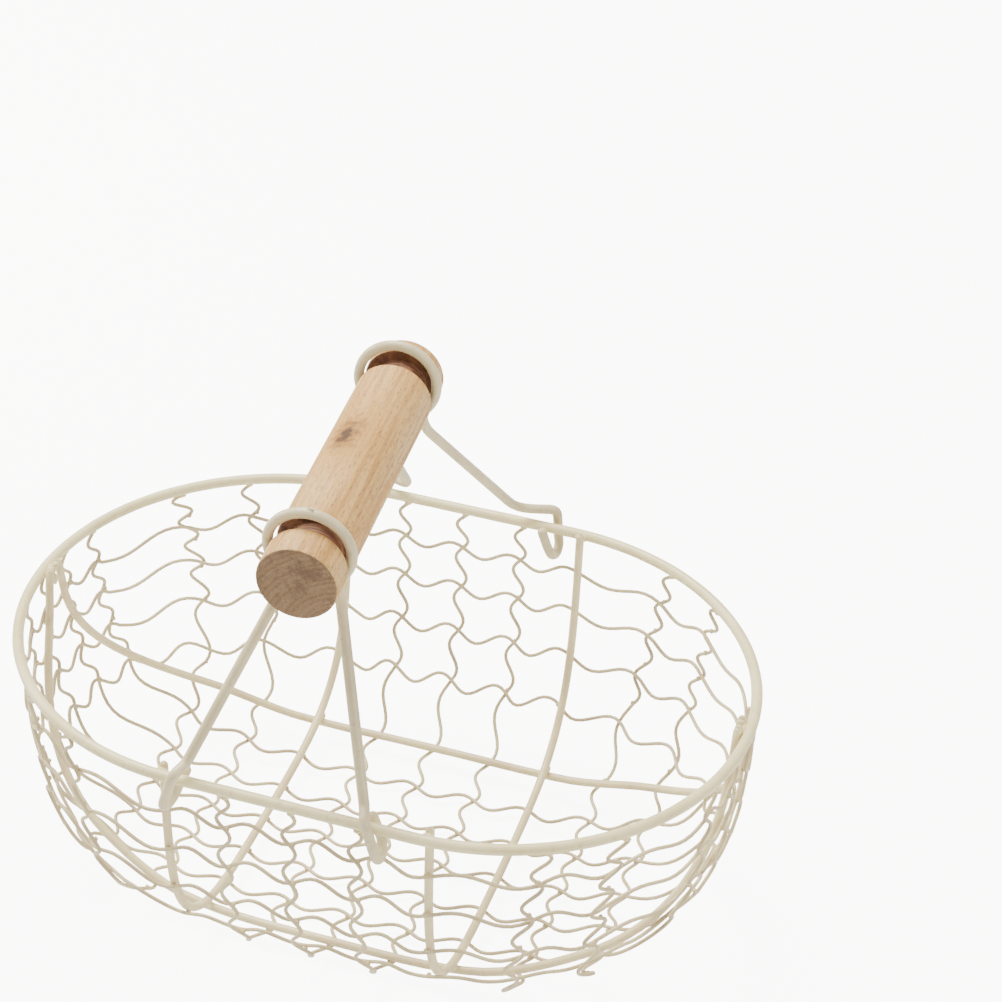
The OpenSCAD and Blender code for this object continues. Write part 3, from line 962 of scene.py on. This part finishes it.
def leg_line(neck, eye_x, side, hand, bend):
    """One leg from the neck down over the rim and round under it to the end of its tail."""
    out_y = side * (RIM_R + EYE_R)
    in_y = side * (RIM_R - EYE_R)
    foot_z = RIM_Z - EYE_DROP + EYE_R
    knee_in = bend + (FRONT_KNEE_IN if side < 0 else 0.0)
    knee = Vector((eye_x - hand * knee_in, side * (RIM_R - 0.3 * EYE_R), RIM_Z + BEND_UP))
    brow_in = FRONT_BROW_IN if side < 0 else 0.0
    brow = Vector((eye_x - hand * brow_in, out_y, RIM_Z + 0.85 * BEND_UP))
    heel = Vector((eye_x + hand * HEEL_SHARE * FOOT_OUT, out_y, foot_z))
    line = rounded_corner(neck, knee, brow, min(6, bend * 0.6), 8)
    line += rounded_corner(knee, brow, heel, 2.5, 7)
    line.append(heel)
    for angle in range(10, 180, 10):
        widens = mix(HEEL_SHARE, 1, clamp(angle / 40))
        returns = mix(1, 0, clamp((angle - 90) / 90))
        x = eye_x + hand * FOOT_OUT * widens * returns
        line.append(Vector((x, side * (RIM_R + EYE_R * cosine(angle)), foot_z - EYE_R * sine(angle))))
    bent_up = Vector((eye_x - hand * 0.2 * TAIL_IN, in_y, foot_z + 1))
    tail = Vector((eye_x - hand * TAIL_IN, in_y, RIM_Z + TAIL_UP))
    line += rounded_corner(line[-1], bent_up, tail, 1.2, 4)
    line.append(tail)
    return line


def grip_turn(size):
    """How the handle is turned, as a matrix of 3 or 4 rows."""
    turned = Matrix.Rotation(math.radians(GRIP_TURN), size, "Z")
    return turned @ Matrix.Rotation(math.radians(GRIP_TILT), size, "X")


def bail_line(side, eyes_x, bend, neck_drop):
    axis = grip_turn(3) @ Vector((0, 1, 0))
    across = Vector((cosine(GRIP_TURN), sine(GRIP_TURN), 0))
    middle = GRIP_MID + (side * RING_FROM_MIDDLE - RING_SHIFT) * axis + Vector((0, 0, RING_UP))
    up = cosine(RING_LEAN) * Vector((0, 0, 1)) + side * sine(RING_LEAN) * axis
    ring = []
    for step in range(RING_STEPS + 1):
        angle = mix(-90 + RING_OPENING, 270 - RING_OPENING - RING_LESS_LEFT, step / RING_STEPS)
        ring.append(middle + RING_R * (cosine(angle) * across + sine(angle) * up))
    neck = middle - Vector((0, 0, RING_UP + neck_drop))
    right_neck = Vector((neck.x + NECK_X, ring[0].y, neck.z))
    left_neck = Vector((neck.x - NECK_X, ring[-1].y, neck.z))
    right_leg = leg_line(right_neck, eyes_x + EYE_HALF, side, 1, bend)
    left_leg = leg_line(left_neck, eyes_x - EYE_HALF, side, -1, bend)
    right_bend = rounded_corner(ring[0], right_neck, right_leg[0], 4, 8)
    left_bend = rounded_corner(ring[-1], left_neck, left_leg[0], 4, 8)
    return right_leg[::-1] + right_bend[::-1] + ring + left_bend + left_leg


def ease_bends(line, rounds):
    """Softens the bends, as wire bent round a peg has no sharp corners."""
    for _ in range(rounds):
        eased = [line[0]]
        for before, point, after in zip(line, line[1:], line[2:]):
            near = min((before - point).length, (after - point).length)
            far = max((before - point).length, (after - point).length)
            pull = 0.25 * (near / far if far > 0 else 0)
            eased.append(point.lerp((before + after) / 2, pull))
        eased.append(line[-1])
        line = eased
    return line


def make_bail(name, side, eyes_x, bend, neck_drop, paint, node):
    line = hand_made(ease_bends(bail_line(side, eyes_x, bend, neck_drop), EASING_ROUNDS), BAIL_D)
    both_ends_round(line, BAIL_D / 2)
    piece = bent_wire(name, line, BAIL_D, 8)
    finish_piece(piece, node, [paint], [node])


# Grip

def grip_half_outline(knob):
    """Distance from the axis and distance along it, from the middle of the grip to one end."""
    near = GRIP_MIDDLE / 2
    far = near + GROOVE_W
    end = far + knob
    r = GRIP_R
    outline = [(r - 0.02, 0.4), (r - 0.03, near * 0.3), (r, near * 0.6), (r - 0.02, near - 1.2)]
    outline += [(r - 0.10, near - 0.55), (r - 0.38, near - 0.16), (r - 0.85, near)]
    outline += [(GROOVE_R + 0.9, near + 0.02), (GROOVE_R + 0.25, near + 0.25), (GROOVE_R, near + 0.9)]
    outline += [(GROOVE_R + 0.03, near + GROOVE_W / 2), (GROOVE_R, far - 0.9)]
    outline += [(GROOVE_R + 0.25, far - 0.25), (GROOVE_R + 0.9, far - 0.02), (r - 0.85, far)]
    outline += [(r - 0.38, far + 0.16), (r - 0.10, far + 0.55), (r - 0.02, far + 1.2)]
    outline += [(r - 0.01, end - 1.6), (r - 0.08, end - 0.85), (r - 0.28, end - 0.35)]
    outline += [(r - 0.62, end - 0.08), (r - 1.0, end), (r * 0.72, end - 0.03)]
    outline += [(r * 0.4, end - 0.05), (r * 0.12, end - 0.06), (0, end - 0.06)]
    return outline


def grip_outline():
    front = [(r, -along) for r, along in grip_half_outline(FRONT_KNOB)]
    return front[::-1] + grip_half_outline(BACK_KNOB)


def face_kind(face):
    """Which of the grip's three materials a face has."""
    middle = face.calc_center_median() / MM
    r = math.hypot(middle.x, middle.z)
    along = abs(middle.y)
    end = GRIP_MIDDLE / 2 + GROOVE_W + (FRONT_KNOB if middle.y < 0 else BACK_KNOB)
    if along > end - 0.3 and r < GRIP_R - 0.4:
        return END_GRAIN
    if along < end - 2 and r < GRIP_R - 0.6:
        return BURNT_AND_SHADED_GROOVE
    return TURNED_SIDE


def make_grip(side_material, end_material, groove_material):
    shape = bmesh.new()
    line = [shape.verts.new((r * MM, along * MM, 0)) for r, along in grip_outline()]
    edges = [shape.edges.new(pair) for pair in zip(line, line[1:])]
    bmesh.ops.spin(shape, geom=line + edges, cent=(0, 0, 0), axis=(0, 1, 0), dvec=(0, 0, 0),
                   angle=2 * math.pi, steps=GRIP_STEPS, use_merge=True)
    bmesh.ops.remove_doubles(shape, verts=shape.verts, dist=0.00001)
    bmesh.ops.recalc_face_normals(shape, faces=shape.faces)
    for face in shape.faces:
        face.material_index = face_kind(face)
        face.smooth = True
    place = Matrix.Translation(GRIP_MID * MM) @ grip_turn(4)
    bmesh.ops.transform(shape, matrix=place, verts=shape.verts)
    mesh = bpy.data.meshes.new("beech_grip")
    shape.to_mesh(mesh)
    shape.free()
    piece = link_piece(bpy.data.objects.new("beech_grip", mesh))
    kinds = [face.material_index for face in mesh.polygons]
    materials = [side_material, end_material, groove_material]
    finish_piece(piece, "grip", materials, ["wooden_grip"])
    mesh.polygons.foreach_set("material_index", kinds)


# Floor, light and camera

FLOOR_HALF = 4.0
FLOOR_BELOW = 0.0002
FLOOR_GLOW = 8.0
WARM_WHITE = (1.0, 0.955, 0.865)

def make_floor():
    shape = bmesh.new()
    bmesh.ops.create_grid(shape, x_segments=1, y_segments=1, size=FLOOR_HALF)
    mesh = bpy.data.meshes.new("pale_floor")
    shape.to_mesh(mesh)
    shape.free()
    floor = link_piece(bpy.data.objects.new("pale_floor", mesh))
    floor.location.z = -FLOOR_BELOW
    material, tree, shader = new_material("pale_floor_paint")
    shader.inputs["Base Color"].default_value = (0.93, 0.93, 0.925, 1)
    shader.inputs["Roughness"].default_value = 0.9
    shader.inputs["Emission Color"].default_value = (1, 1, 0.995, 1)
    seen = add(tree, "ShaderNodeLightPath").outputs["Is Camera Ray"]
    join(tree, times(tree, seen, FLOOR_GLOW), shader.inputs["Emission Strength"])
    mesh.materials.append(material)


def make_softbox(name, place, target, size, power):
    light = bpy.data.lights.new(name, "AREA")
    light.shape = "DISK"
    light.size = size
    light.energy = power
    light.color = WARM_WHITE
    lamp = link_piece(bpy.data.objects.new(name, light))
    lamp.location = place
    lamp.rotation_euler = (Vector(target) - Vector(place)).to_track_quat("-Z", "Y").to_euler()


def make_light():
    middle = (0, 0, 0.08)
    make_softbox("top_softbox", (-0.55, 0.45, 1.5), middle, 1.0, 56)
    make_softbox("left_softbox", (-1.5, 0.1, 0.8), middle, 0.7, 20)
    make_softbox("right_fill", (1.3, -0.5, 0.9), middle, 1.1, 15)
    world = bpy.data.worlds.new("soft_room")
    world.use_nodes = True
    room = world.node_tree.nodes["Background"]
    room.inputs["Color"].default_value = (1.0, 0.975, 0.92, 1)
    room.inputs["Strength"].default_value = 0.5
    bpy.context.scene.world = world


def make_camera():
    azimuth = 16.33411
    elevation = 34.90918
    roll = 2.54512
    distance = 941.7
    target = Vector((-7.2081, 148.8819, 47.85))
    back = Vector((sine(azimuth) * cosine(elevation), -cosine(azimuth) * cosine(elevation), sine(elevation)))
    right = Vector((cosine(azimuth), sine(azimuth), 0))
    up = back.cross(right)
    rolled_right = cosine(roll) * right + sine(roll) * up
    rolled_up = cosine(roll) * up - sine(roll) * right
    lens = bpy.data.cameras.new("studio_camera")
    lens.lens = 89.56
    lens.sensor_width = 36
    lens.clip_start = 0.01
    camera = link_piece(bpy.data.objects.new("studio_camera", lens))
    turn = Matrix((rolled_right, rolled_up, back)).transposed().to_4x4()
    camera.matrix_world = Matrix.Translation((target + distance * back) * MM) @ turn
    bpy.context.scene.camera = camera


make_camera()
make_light()
make_floor()
frame_cream = frame_paint()
rib_cream = rib_paint()
bail_cream = bail_paint()
net_cream_with_painted_shade = net_paint()
make_rim(frame_cream)
make_ribs(rib_cream)
make_net(net_cream_with_painted_shade)
make_net_welds(net_cream_with_painted_shade)
make_rib_welds(frame_cream)
make_bail("front_bail_wire", -1, FRONT_EYES_X, FRONT_BEND, FRONT_NECK_DROP, bail_cream, "front_bail")
make_bail("back_bail_wire", 1, BACK_EYES_X, BACK_BEND, BACK_NECK_DROP, bail_cream, "back_bail")
make_grip(side_wood(), end_grain_wood_with_painted_shade(), groove_wood_burnt_and_painted_shade())
